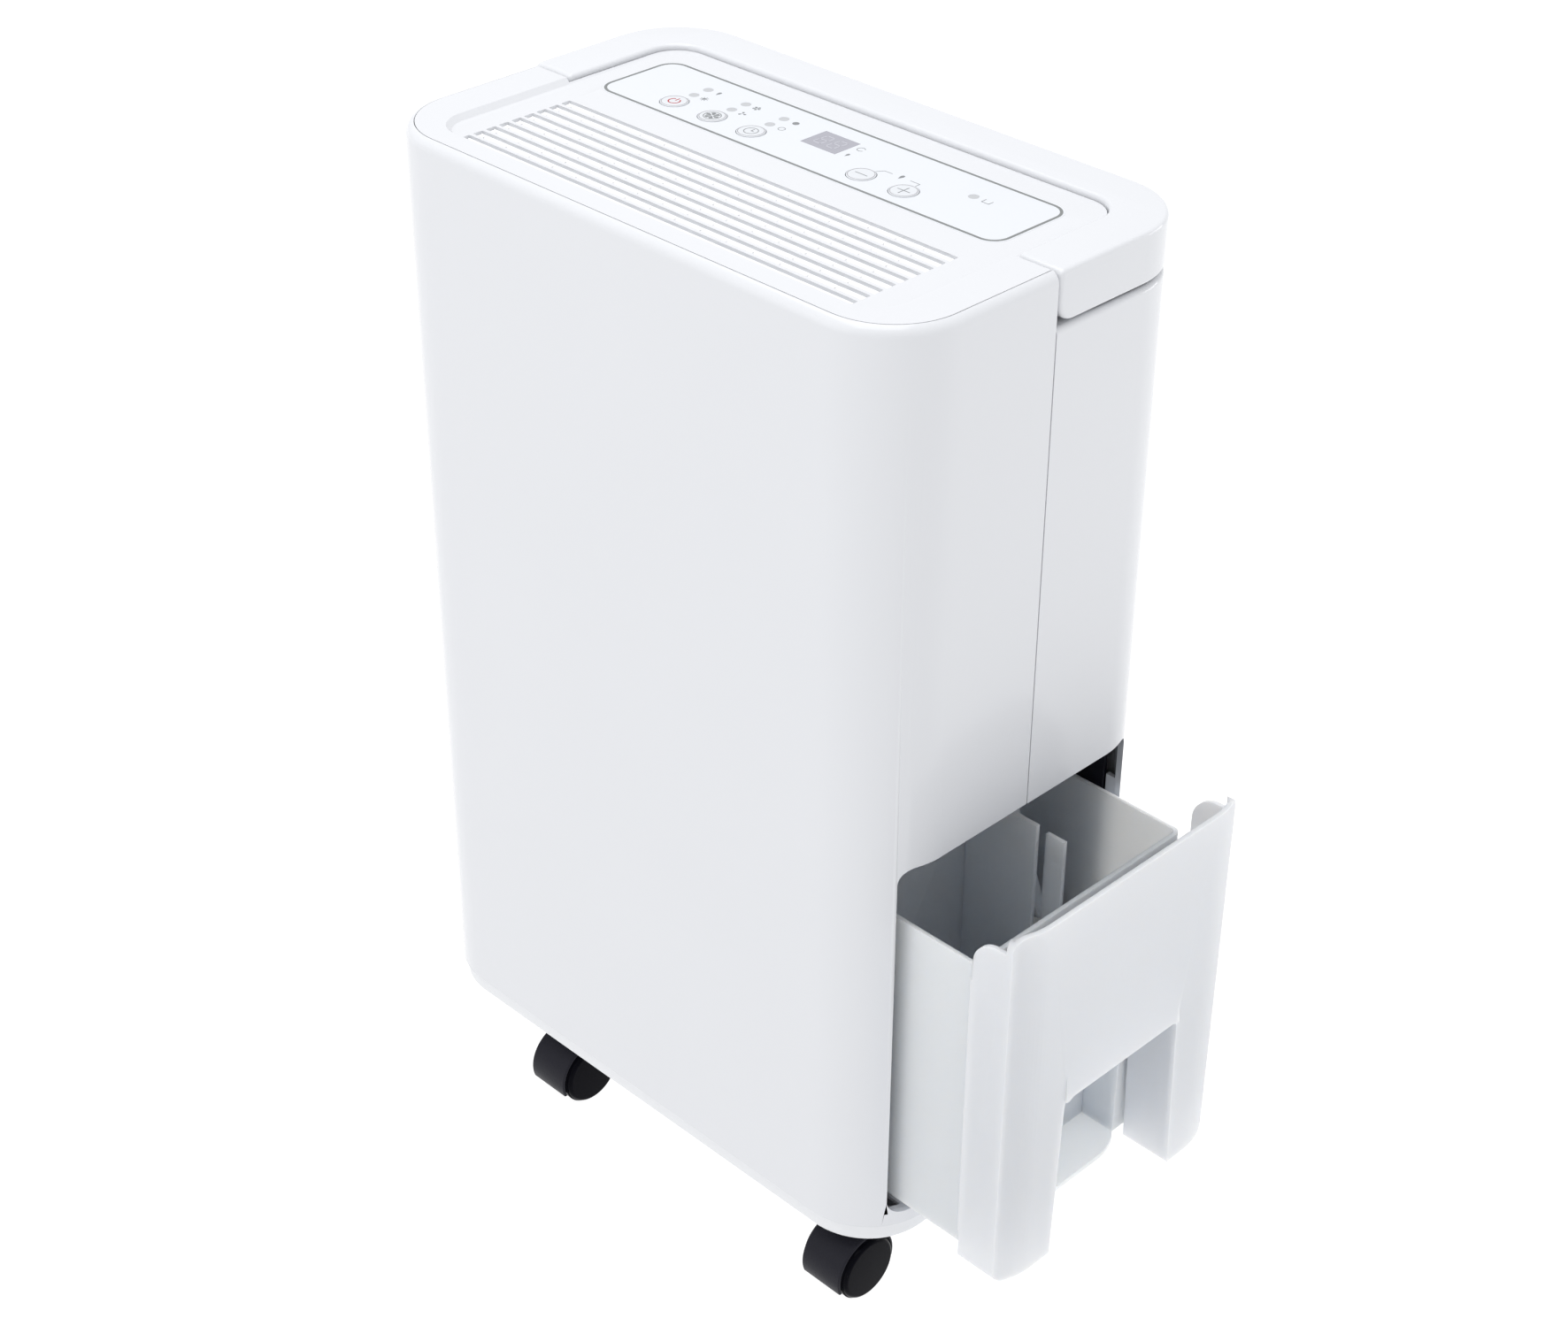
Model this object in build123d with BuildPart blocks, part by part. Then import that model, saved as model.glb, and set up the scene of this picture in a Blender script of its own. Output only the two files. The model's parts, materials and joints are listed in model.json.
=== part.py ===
from build123d import *
import os
from math import cos, radians, sin

# Portable compressor dehumidifier on four twin-wheel casters, in millimetres.
# Design frame: X across the wide front face, towards the side where the water tank draws out;
# Y from the front face to the rear intake; Z up from the casing's bottom edge; the casing is
# centred on X = Y = 0. place() moves each finished piece into the part's own frame: floor at
# Z = 0 and the whole box centred on X = Y = 0. The tank stands partly drawn out at rest.

# ---- casing ----
WIDTH = 290.0
DEPTH = 171.0
CORNER = 34.5            # upright corners, in plan
RIM_TOP = 423.0          # top of the rim and of the handle
WALL = 2.5
RIM_ROUND = 5.0          # rounding along the top outer edge
RIM_WIDTH = 3.6          # front shell's rim, seen from above
SEAM_Y = 0.8             # upright seam between the front and rear shells
SEAM_GAP = 0.5
LIP = 1.9                # the base stands in by this much
LIP_HEIGHT = 9.6
PAN_FLOOR = -6.6         # inside floor of the base pan

# ---- top ----
DECK_Z = 420.5           # sunk deck that carries the grille and the panel
BAND_Z = 422.8           # raised band of the top cover, in front
DECK_T = 2.5
DECK_HALF_X = 123.3
DECK_Y = (-72.0, 63.8)
DECK_CORNER = 15.0
HANDLE_Z = 401.4         # underside of the handle
HANDLE_FRONT_Y = 1.6
HANDLE_ROUND = 1.8       # along its top edges
HANDLE_BROW = 3.0        # front ends, above
HANDLE_TOE = 8.6         # front ends, below
HANDLE_GAP = 0.5
HANDLE_T = 2.6
HANDLE_SOLID_Y = 22.0    # the ends are solid up to here
REAR_TOP = 400.0         # top of the rear shell, under the handle
PIVOT = (14.0, 416.5)    # handle pivot, Y and Z
PIVOT_R = 2.0
RUN = 0.05               # radial running clearance on pins and axles

# ---- outlet grille ----
SLOT_COUNT = 9
SLOT_PITCH = 6.63
SLOT_WIDTH = 4.9
SLOT_HALF_X = 107.3
SLOT_MID_Y = -40.85
VANE_TILT = 40
VANE_WIDTH = 6.6
VANE_T = 1.0
CROSSBAR_PITCH = 14.0
CROSSBAR_COUNT = 16
CROSSBAR_T = 1.4

# ---- control panel ----
PANEL_MID = (-0.8, 27.65)
PANEL_SIZE = (222.0, 45.2)
PANEL_CORNER = 9.0
FILM_T = 0.4
FILM_TOP = DECK_Z + 0.05
BUTTON_X = {"power": -76.5, "fan": -54.0, "timer": -31.5, "minus": 29.5, "plus": 52.0}
BUTTON_Y = 17.9
BUTTON_R = 6.0
BUTTON_GAP = 0.3
BUTTON_TRAVEL = 0.4
BUTTON_PROUD = 0.3
SWITCH_HEIGHT = 1.0
LED_SPOTS = [(x, y) for x in (-76.0, -53.7, -31.6) for y in (28.6, 36.7)] + [(74.2, 33.3)]
LED_R = 2.2
DISPLAY_MID = (-1.4, 32.5)
DISPLAY_SIZE = (19.2, 15.0)
BOARD_TOP = 412.4
BOARD_MID_Y = 27.5
BOARD_POSTS = (184.0, 30.0)

# ---- tank opening, bay and tank, with the tank closed ----
TANK_OUT = 59.0          # how far the tank stands drawn out at rest
OPENING_HALF_Y = 69.5
OPENING_Z = (6.5, 188.7)
OPENING_R = 7.0
TANK_X = (32.0, 118.5)
TANK_HALF_Y = 63.8
TANK_Z = (10.0, 160.0)
TANK_T = 2.0
PARTITION_Y = 25.0
COVER_HALF_Y = 69.0
COVER_Z = (8.6, 187.4)
COVER_T = 2.2
FLANGE_X = 120.5         # rear edge of the cover's side flanges
FLANGE_FRONT_X = 138.6
FLANGE_TOP = 178.7
GAP_HALF_Y = (39.3, 36.0)    # finger gap, at the bottom and at the top
GAP_TOP = 91.0
BROW = 1.2               # the grip above the gap swells out by this much
POCKET_X = 101.0
POCKET_HALF_Y = 34.0
POCKET_TOP = 112.0
TONGUE_X = 123.9
TONGUE_R = 26.0
TONGUE_TOP = 12.5
BAY_X = (24.0, 130.0)
BAY_HALF_Y = 72.0
BAY_FLOOR = 9.5
BAY_TOP = 192.5
BAY_T = 2.0

# ---- float ----
FLOAT_PIVOT = (40.0, 146.0)  # X and Z
FLOAT_PIN_R = 1.5
FLOAT_MID = (60.0, 84.0)
FLOAT_TOP = 96.0

# ---- casters ----
CASTER_X = {"left": -62.3, "right": 117.5}
STEM_Y = {"front": -61.5, "rear": 61.5}
TRAIL = 8.0              # the axle trails the swivel stem by this much
WHEEL_R = 15.5
WHEEL_X = (4.8, 13.3)    # inner and outer face of each wheel, from the middle
AXLE_Z = -31.5
AXLE_R = 2.0
AXLE_HALF = 12.0
HOOD_R = 17.2
HOOD_BORE = 15.9
HOOD_HALF_X = 11.2
HOOD_ARC = (-14.0, 201.0)
WEB_HALF_X = 4.2
STEM_R = 3.0
STEM_Z = (-26.5, 6.0)
BOSS_R = 7.0
BOSS_Z = AXLE_Z + HOOD_R + 1.1
FLOOR_Z = AXLE_Z - WHEEL_R

# ---- air path and cold circuit ----
FAN_Z = 292.0
FAN_R = 70.0
FAN_Y = (-66.0, -20.0)
SCROLL_R = 88.0
SCROLL_Y = (-72.0, -9.0)
SCROLL_TOP = 405.0
SCROLL_T = 2.0
BRACKET_T = 2.0
INLET_R = 54.0
MOTOR_R = 30.0
MOTOR_Y = (-46.0, -9.0)
SHAFT_R = 4.0
BLADES = 36
INTAKE_HALF_X = 100.0
INTAKE_Z = (214.0, 384.0)
FILTER_Y = (76.0, 85.2)
FILTER_GAP = 0.4
LOUVRES = 15
COIL_HALF_X = 96.0
COIL_Z = (212.0, 380.0)
EVAPORATOR_Y = (50.0, 70.0)
CONDENSER_Y = (24.0, 44.0)
FIN_COUNT = 32
TUBE_ROWS = 8
TUBE_PITCH = 21.0
TUBE_R = 3.5
BEND_X = 109.0
TRAY_Z = (194.0, 208.0)
TRAY_Y = (7.0, 73.0)
TRAY_HALF_X = 104.0
DRIP = (60.0, 20.0)      # X and Y of the hole that drips into the tank
DRIP_R = 4.0
COMPRESSOR = (-78.0, 2.0)
COMPRESSOR_R = 48.0
COMPRESSOR_Z = (14.5, 158.0)
FOOT_RADIUS = 56.0
FOOT_ANGLES = (90, 210, 330)
FOOT_TOP = 5.0
ACCUMULATOR = (-12.0, 24.0)
PIPE_R = 3.0

# ---- rear fittings ----
SPOUT = (0.0, 201.0)     # X and Z
SPOUT_R = 6.5
SPOUT_BORE = 4.0
SPOUT_COLLAR = 2.5       # the collar is this much wider than the spout
SPOUT_LENGTH = 12.0
PLUG_HEAD = 2.0
GROMMET = (-94.0, 32.0)  # X and Z of the power cord's inlet
GROMMET_R = 8.0
GROMMET_BORE = 3.8
GROMMET_Y = (79.5, 88.5)
SCREW_XZ = [(x, z) for x in (-114.0, 114.0) for z in (200.0, 388.0)] + [(-114.0, 12.0), (-40.0, 12.0)]

# ---- box of the whole part ----
BOX_X = (-WIDTH / 2, WIDTH / 2 + TANK_OUT + BROW)
BOX_Y = (STEM_Y["front"] - TRAIL - HOOD_R, DEPTH / 2 + SPOUT_LENGTH + 0.3 + PLUG_HEAD)
SHIFT = (-sum(BOX_X) / 2, -sum(BOX_Y) / 2, -FLOOR_Z)

os.makedirs("parts", exist_ok=True)


def place(piece, name, drawn_out=False):
    """Moves a finished piece into the part's frame, labels it and writes its STEP file."""
    moved = piece.moved(Location((SHIFT[0] + (TANK_OUT if drawn_out else 0), SHIFT[1], SHIFT[2])))
    moved.label = name
    export_step(moved, f"parts/{name}.step")


def block(low, high, mode=Mode.ADD):
    """A box between two corners, in the open part."""
    with Locations(tuple((low[i] + high[i]) / 2 for i in range(3))):
        Box(*(high[i] - low[i] for i in range(3)), mode=mode)


def rod(start, radius, length, along="Z", mode=Mode.ADD):
    """A cylinder that starts at start and runs along +X, +Y or +Z, in the open part."""
    turn = {"X": (0, 90, 0), "Y": (-90, 0, 0), "Z": (0, 0, 0)}[along]
    with Locations(Location(start, turn)):
        Cylinder(radius, length, align=(Align.CENTER, Align.CENTER, Align.MIN), mode=mode)


def outline(inset, mode=Mode.ADD):
    """The casing's plan outline, drawn in by inset."""
    RectangleRounded(WIDTH - 2 * inset, DEPTH - 2 * inset, CORNER - inset, mode=mode)


def deck_outline(inset, mode=Mode.ADD):
    """The sunk deck's plan outline, drawn in by inset."""
    with Locations((0, sum(DECK_Y) / 2)):
        RectangleRounded(
            2 * (DECK_HALF_X - inset), DECK_Y[1] - DECK_Y[0] - 2 * inset, DECK_CORNER - inset, mode=mode
        )


def keep_side(y, front):
    """Keeps what lies in front of, or behind, the upright plane at y, in the open part."""
    split(bisect_by=Plane.XZ.offset(-y), keep=Keep.TOP if front else Keep.BOTTOM)


def cut_tank_opening():
    """Cuts the rounded opening that the tank draws through, in the open part."""
    with BuildSketch(Plane.YZ.offset(105)) as opening:
        with Locations((0, sum(OPENING_Z) / 2)):
            RectangleRounded(2 * OPENING_HALF_Y, OPENING_Z[1] - OPENING_Z[0], OPENING_R)
    extrude(opening.sketch, amount=60, mode=Mode.SUBTRACT)


# ================= casing =================

with BuildPart() as front_shell:
    with BuildSketch():
        outline(0)
    extrude(amount=RIM_TOP)
    fillet(front_shell.faces().sort_by(Axis.Z)[-1].edges(), RIM_ROUND)
    with BuildSketch():
        outline(WALL)
    extrude(amount=RIM_TOP - 2 * WALL, mode=Mode.SUBTRACT)
    with BuildSketch(Plane.XY.offset(RIM_TOP - 3 * WALL)):
        outline(RIM_WIDTH)
    extrude(amount=3 * WALL, mode=Mode.SUBTRACT)
    cut_tank_opening()
    keep_side(SEAM_Y - SEAM_GAP / 2, front=True)
place(front_shell.part, "front_shell")

with BuildPart() as rear_shell:
    with BuildSketch():
        outline(0)
    extrude(amount=REAR_TOP)
    fillet(rear_shell.faces().sort_by(Axis.Z)[-1].edges(), WALL)
    with BuildSketch():
        outline(WALL)
    extrude(amount=REAR_TOP - WALL, mode=Mode.SUBTRACT)
    with BuildSketch(Plane.XY.offset(REAR_TOP - 2 * WALL)):
        deck_outline(HANDLE_GAP - 0.1)
    extrude(amount=4 * WALL, mode=Mode.SUBTRACT)
    cut_tank_opening()
    keep_side(SEAM_Y + SEAM_GAP / 2, front=False)
    # intake opening with a frame inside that the filter seats against
    block(
        (-INTAKE_HALF_X - 2, FILTER_Y[0] - 2.5, INTAKE_Z[0] - 2),
        (INTAKE_HALF_X + 2, DEPTH / 2 - 1, INTAKE_Z[1] + 2),
    )
    block(
        (-INTAKE_HALF_X, FILTER_Y[0] - 0.5, INTAKE_Z[0]),
        (INTAKE_HALF_X, DEPTH, INTAKE_Z[1]),
        mode=Mode.SUBTRACT,
    )
    block(
        (-INTAKE_HALF_X + 5, FILTER_Y[0] - 3, INTAKE_Z[0] + 5),
        (INTAKE_HALF_X - 5, FILTER_Y[0], INTAKE_Z[1] - 5),
        mode=Mode.SUBTRACT,
    )
    # drain spout hole and cord inlet hole
    rod((SPOUT[0], 78, SPOUT[1]), SPOUT_R + SPOUT_COLLAR, 12, "Y", Mode.SUBTRACT)
    rod((GROMMET[0], 78, GROMMET[1]), GROMMET_R, 12, "Y", Mode.SUBTRACT)
    # guide rib just inside the far edge of the tank opening
    block((131.5, 69.9, 20), (136.8, BAY_HALF_Y, 163))
    # screw pockets
    for x, z in SCREW_XZ:
        rod((x, DEPTH / 2 - 1.2, z), 4.2, 2, "Y", Mode.SUBTRACT)
        rod((x, DEPTH / 2 - 5, z), 1.9, 6, "Y", Mode.SUBTRACT)
place(rear_shell.part, "rear_shell")

with BuildPart() as top_cover:
    # raised band in front of the seam, with a sloped step down to the deck
    with BuildSketch(Plane.XY.offset(DECK_Z - DECK_T)):
        outline(RIM_WIDTH + 0.3)
    extrude(amount=BAND_Z - DECK_Z + DECK_T)
    keep_side(SEAM_Y - 0.6, front=True)
    with BuildSketch(Plane.XY.offset(DECK_Z)):
        deck_outline(2.4)
    extrude(amount=BAND_Z - DECK_Z, taper=-44, mode=Mode.SUBTRACT)
    # sunk deck
    with BuildSketch(Plane.XY.offset(DECK_Z - DECK_T)):
        deck_outline(HANDLE_GAP)
    extrude(amount=DECK_T)
    # skirt behind the seam, down to the rear shell's top
    with BuildSketch(Plane.XY.offset(REAR_TOP - WALL - 1.5)):
        deck_outline(HANDLE_GAP)
        deck_outline(HANDLE_GAP + 2.2, mode=Mode.SUBTRACT)
        Rectangle(WIDTH, DEPTH, align=(Align.CENTER, Align.MAX), mode=Mode.SUBTRACT)
    extrude(amount=DECK_Z - DECK_T - REAR_TOP + WALL + 1.5)
    # outlet slots
    with BuildSketch(Plane.XY.offset(DECK_Z - 2 * DECK_T)):
        with Locations((0, SLOT_MID_Y)):
            with GridLocations(0, SLOT_PITCH, 1, SLOT_COUNT):
                RectangleRounded(2 * SLOT_HALF_X, SLOT_WIDTH, 0.6)
    extrude(amount=4 * DECK_T, mode=Mode.SUBTRACT)
    # seat for the printed film, and the holes under it
    with BuildSketch(Plane.XY.offset(FILM_TOP - FILM_T)):
        with Locations(PANEL_MID):
            RectangleRounded(*PANEL_SIZE, PANEL_CORNER)
    extrude(amount=1, mode=Mode.SUBTRACT)
    with BuildSketch(Plane.XY.offset(DECK_Z - 2 * DECK_T)):
        with Locations(*[(x, BUTTON_Y) for x in BUTTON_X.values()]):
            Circle(BUTTON_R + BUTTON_GAP)
        with Locations(*LED_SPOTS):
            Circle(LED_R)
        with Locations(DISPLAY_MID):
            Rectangle(*DISPLAY_SIZE)
    extrude(amount=4 * DECK_T, mode=Mode.SUBTRACT)
    # pivot bosses for the handle's pins
    for side in (-1, 1):
        with Locations((side * 118.5, PIVOT[0], PIVOT[1] - 2)):
            Box(6, 11, 9)
        rod((side * 120 - 6, PIVOT[0], PIVOT[1]), PIVOT_R + RUN, 12, "X", Mode.SUBTRACT)
    # posts for the control board
    with Locations((0, BOARD_MID_Y, BOARD_TOP)):
        with GridLocations(*BOARD_POSTS, 2, 2):
            Cylinder(3, DECK_Z - DECK_T - BOARD_TOP, align=(Align.CENTER, Align.CENTER, Align.MIN))
place(top_cover.part, "top_cover")

with BuildPart() as outlet_grid:
    # crossbars under the outlet slots, tied by two rails that hang from the deck
    grid_half_y = SLOT_COUNT * SLOT_PITCH / 2
    with Locations((0, SLOT_MID_Y, DECK_Z - DECK_T - 3.6)):
        with GridLocations(CROSSBAR_PITCH, 0, CROSSBAR_COUNT, 1):
            Box(CROSSBAR_T, 2 * grid_half_y, 6)
    # the crossbars' tops, which stand up inside the slots
    with Locations((0, SLOT_MID_Y, DECK_Z - DECK_T - 0.3)):
        with GridLocations(CROSSBAR_PITCH, SLOT_PITCH, CROSSBAR_COUNT, SLOT_COUNT):
            Box(CROSSBAR_T, SLOT_WIDTH - 0.5, 3)
    # sloping vanes in the slots that turn the air towards the front
    with GridLocations(0, SLOT_PITCH, 1, SLOT_COUNT):
        with Locations(Location((0, SLOT_MID_Y - 0.55, DECK_Z - 3.4), (VANE_TILT, 0, 0))):
            Box(2 * SLOT_HALF_X - 3.6, VANE_WIDTH, VANE_T)
    with Locations((0, SLOT_MID_Y, DECK_Z - DECK_T - 4)):
        with GridLocations(0, 2 * grid_half_y, 1, 2):
            Box(212, 1.6, 8)
place(outlet_grid.part, "outlet_grid")

with BuildPart() as base_pan:
    with BuildSketch(Plane.XY.offset(-LIP_HEIGHT)):
        outline(LIP)
    extrude(amount=LIP_HEIGHT - 0.7)
    fillet(base_pan.faces().sort_by(Axis.Z)[0].edges(), 2.2)
    # upstand inside the shells
    with BuildSketch(Plane.XY.offset(-1)):
        outline(WALL + 0.2)
    extrude(amount=11)
    with BuildSketch(Plane.XY.offset(PAN_FLOOR)):
        outline(WALL + 2.6)
    extrude(amount=30, mode=Mode.SUBTRACT)
    # the upstand drops to a pale sill where the tank passes over it
    block((122, -OPENING_HALF_Y, OPENING_Z[0] - 0.3), (150, OPENING_HALF_Y, 30), mode=Mode.SUBTRACT)
    block((130.3, -60, OPENING_Z[0] - 2.3), (140.5, 60, OPENING_Z[0] - 0.3))
    # caster bosses
    for x in CASTER_X.values():
        for y in STEM_Y.values():
            rod((x, y, BOSS_Z), BOSS_R, STEM_Z[1] + 1 - BOSS_Z)
            rod((x, y, BOSS_Z - 1), STEM_R, STEM_Z[1] + 1 - BOSS_Z, mode=Mode.SUBTRACT)
place(base_pan.part, "base_pan")

# ================= handle =================

with BuildPart() as handle:
    with BuildSketch(Plane.XY.offset(HANDLE_Z)):
        outline(0)
        deck_outline(0, mode=Mode.SUBTRACT)
    extrude(amount=RIM_TOP - HANDLE_Z)
    # the front ends round off, most of all underneath
    with BuildSketch(Plane.YZ) as handle_side:
        with Locations((HANDLE_FRONT_Y, HANDLE_Z)):
            Rectangle(DEPTH, RIM_TOP - HANDLE_Z, align=(Align.MIN, Align.MIN))
        fillet(handle_side.vertices().sort_by(Axis.X)[0:2].sort_by(Axis.Y)[0], HANDLE_TOE)
        fillet(handle_side.vertices().sort_by(Axis.Y)[-2:].sort_by(Axis.X)[0], HANDLE_BROW)
    extrude(amount=WIDTH, both=True, mode=Mode.INTERSECT)
    top_edges = handle.faces().sort_by(Axis.Z)[-1].edges()
    fillet(top_edges.sort_by(Axis.Y)[2:], HANDLE_ROUND)
    # open underneath, with solid ends round the pivots
    with BuildSketch(Plane.XY.offset(HANDLE_Z)):
        outline(HANDLE_T)
        deck_outline(-HANDLE_T, mode=Mode.SUBTRACT)
        with Locations((0, HANDLE_SOLID_Y)):
            Rectangle(2 * WIDTH, DEPTH * 2, align=(Align.CENTER, Align.MAX), mode=Mode.SUBTRACT)
    extrude(amount=RIM_TOP - HANDLE_Z - HANDLE_T - 1, mode=Mode.SUBTRACT)
    for side in (-1, 1):
        rod((side * 129 - 9, PIVOT[0], PIVOT[1]), PIVOT_R, 18, "X", Mode.SUBTRACT)
place(handle.part, "handle")

with BuildPart() as handle_pins:
    for side in (-1, 1):
        rod((side * 127 - 10, PIVOT[0], PIVOT[1]), PIVOT_R, 20, "X")
place(handle_pins.part, "handle_pins")

# ================= control panel =================

with BuildPart() as control_membrane:
    with BuildSketch(Plane.XY.offset(FILM_TOP - FILM_T)):
        with Locations(PANEL_MID):
            RectangleRounded(*PANEL_SIZE, PANEL_CORNER)
        with Locations(*[(x, BUTTON_Y) for x in BUTTON_X.values()]):
            Circle(BUTTON_R + BUTTON_GAP, mode=Mode.SUBTRACT)
        with Locations(*LED_SPOTS):
            Circle(LED_R, mode=Mode.SUBTRACT)
        with Locations(DISPLAY_MID):
            Rectangle(*DISPLAY_SIZE, mode=Mode.SUBTRACT)
    extrude(amount=FILM_T)
place(control_membrane.part, "control_membrane")

for button_name, button_x in BUTTON_X.items():
    with BuildPart() as button:
        rod((button_x, BUTTON_Y, DECK_Z - 2), BUTTON_R, FILM_TOP + BUTTON_PROUD - DECK_Z + 2)
        fillet(button.faces().sort_by(Axis.Z)[-1].edges(), 0.3)
        rod((button_x, BUTTON_Y, BOARD_TOP + SWITCH_HEIGHT + BUTTON_TRAVEL + 0.3), 1.8, 5)
    place(button.part, f"{button_name}_button")

with BuildPart() as led_lenses:
    for x, y in LED_SPOTS:
        rod((x, y, BOARD_TOP), LED_R, FILM_TOP - BOARD_TOP)
place(led_lenses.part, "led_lenses")

with BuildPart() as display_window:
    block(
        (DISPLAY_MID[0] - DISPLAY_SIZE[0] / 2, DISPLAY_MID[1] - DISPLAY_SIZE[1] / 2, DECK_Z - DECK_T),
        (DISPLAY_MID[0] + DISPLAY_SIZE[0] / 2, DISPLAY_MID[1] + DISPLAY_SIZE[1] / 2, FILM_TOP),
    )
place(display_window.part, "display_window")

with BuildPart() as display_module:
    block(
        (DISPLAY_MID[0] - 11, DISPLAY_MID[1] - 8, BOARD_TOP),
        (DISPLAY_MID[0] + 11, DISPLAY_MID[1] + 8, DECK_Z - DECK_T),
    )
place(display_module.part, "display_module")

with BuildPart() as control_board:
    with Locations((0, BOARD_MID_Y, BOARD_TOP - 0.8)):
        Box(196, 38, 1.6)
        with GridLocations(*BOARD_POSTS, 2, 2):
            Cylinder(1.3, 4, mode=Mode.SUBTRACT)
place(control_board.part, "control_board")

with BuildPart() as tact_switches:
    with Locations(*[(x, BUTTON_Y, BOARD_TOP + SWITCH_HEIGHT / 2) for x in BUTTON_X.values()]):
        Box(6, 6, SWITCH_HEIGHT)
place(tact_switches.part, "tact_switches")

# ================= tank bay =================

with BuildPart() as tank_bay:
    block((BAY_X[0], -BAY_HALF_Y, PAN_FLOOR), (BAY_X[1], BAY_HALF_Y, BAY_TOP))
    inner_half_y = BAY_HALF_Y - BAY_T
    block(
        (BAY_X[0] + BAY_T, -inner_half_y, BAY_FLOOR),
        (BAY_X[1] + 1, inner_half_y, BAY_TOP - BAY_T),
        mode=Mode.SUBTRACT,
    )
    # hollow underneath, clear of the caster bosses
    block(
        (BAY_X[0] + BAY_T, -inner_half_y, PAN_FLOOR - 1),
        (BAY_X[1] + 1, inner_half_y, BAY_FLOOR - BAY_T),
        mode=Mode.SUBTRACT,
    )
    # its floor stops short of the tank's front
    block(
        (FLANGE_X - 1.2, -inner_half_y, 0),
        (BAY_X[1] + 1, inner_half_y, BAY_FLOOR + 1),
        mode=Mode.SUBTRACT,
    )
    rod((*DRIP, BAY_TOP - 2 * BAY_T), DRIP_R + 3, 10, mode=Mode.SUBTRACT)
place(tank_bay.part, "tank_bay")

with BuildPart() as level_switch:
    block((BAY_X[0] + BAY_T, 38, 118), (BAY_X[0] + BAY_T + 4, 50, 140))
place(level_switch.part, "level_switch")

# ================= water tank, modelled closed and placed drawn out =================

tank_mid_x = sum(TANK_X) / 2
tank_length = TANK_X[1] - TANK_X[0]
with BuildPart() as tank_body:
    with BuildSketch(Plane.XY.offset(TANK_Z[0])):
        with Locations((tank_mid_x, 0)):
            RectangleRounded(tank_length, 2 * TANK_HALF_Y, 4)
    extrude(amount=TANK_Z[1] - TANK_Z[0])
    fillet(tank_body.faces().sort_by(Axis.Z)[0].edges(), 3.8)
    with BuildSketch(Plane.XY.offset(TANK_Z[0] + TANK_T)):
        with Locations((tank_mid_x, 0)):
            RectangleRounded(tank_length - 2 * TANK_T, 2 * (TANK_HALF_Y - TANK_T), 2.6)
    extrude(amount=TANK_Z[1], mode=Mode.SUBTRACT)
    tank_floor = tank_body.faces().filter_by(Axis.Z).sort_by(Axis.Z)[1]
    fillet(tank_floor.edges(), 2.4)
    # finger pocket behind the gap in the front
    block(
        (POCKET_X - TANK_T, -POCKET_HALF_Y - TANK_T, TANK_Z[0] + TANK_T),
        (TANK_X[1] - TANK_T, POCKET_HALF_Y + TANK_T, POCKET_TOP + TANK_T),
    )
    block(
        (POCKET_X, -POCKET_HALF_Y, TONGUE_TOP),
        (TANK_X[1] + 1, POCKET_HALF_Y, POCKET_TOP),
        mode=Mode.SUBTRACT,
    )
    # the floor runs on as a rounded tongue in the finger gap
    with BuildSketch(Plane.XY.offset(TANK_Z[0])):
        with Locations((TANK_X[1] - 8, 0)):
            Rectangle(TONGUE_X - TANK_X[1] + 8, 2 * POCKET_HALF_Y, align=(Align.MIN, Align.CENTER))
        with Locations((TONGUE_X - 30, 0)):
            RectangleRounded(60, 2 * (TONGUE_R + 18), TONGUE_R, mode=Mode.INTERSECT)
    extrude(amount=TONGUE_TOP - TANK_Z[0])
    # partition that keeps the float's corner apart, with a guide slot in it
    block((TANK_X[0] + 1, PARTITION_Y, TANK_Z[0] + 1), (72.5, PARTITION_Y + 2, TANK_Z[1] - 2))
    block((77.5, PARTITION_Y, TANK_Z[0] + 1), (87.5, PARTITION_Y + 2, TANK_Z[1] - 3))
place(tank_body.part, "tank_body", drawn_out=True)

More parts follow.
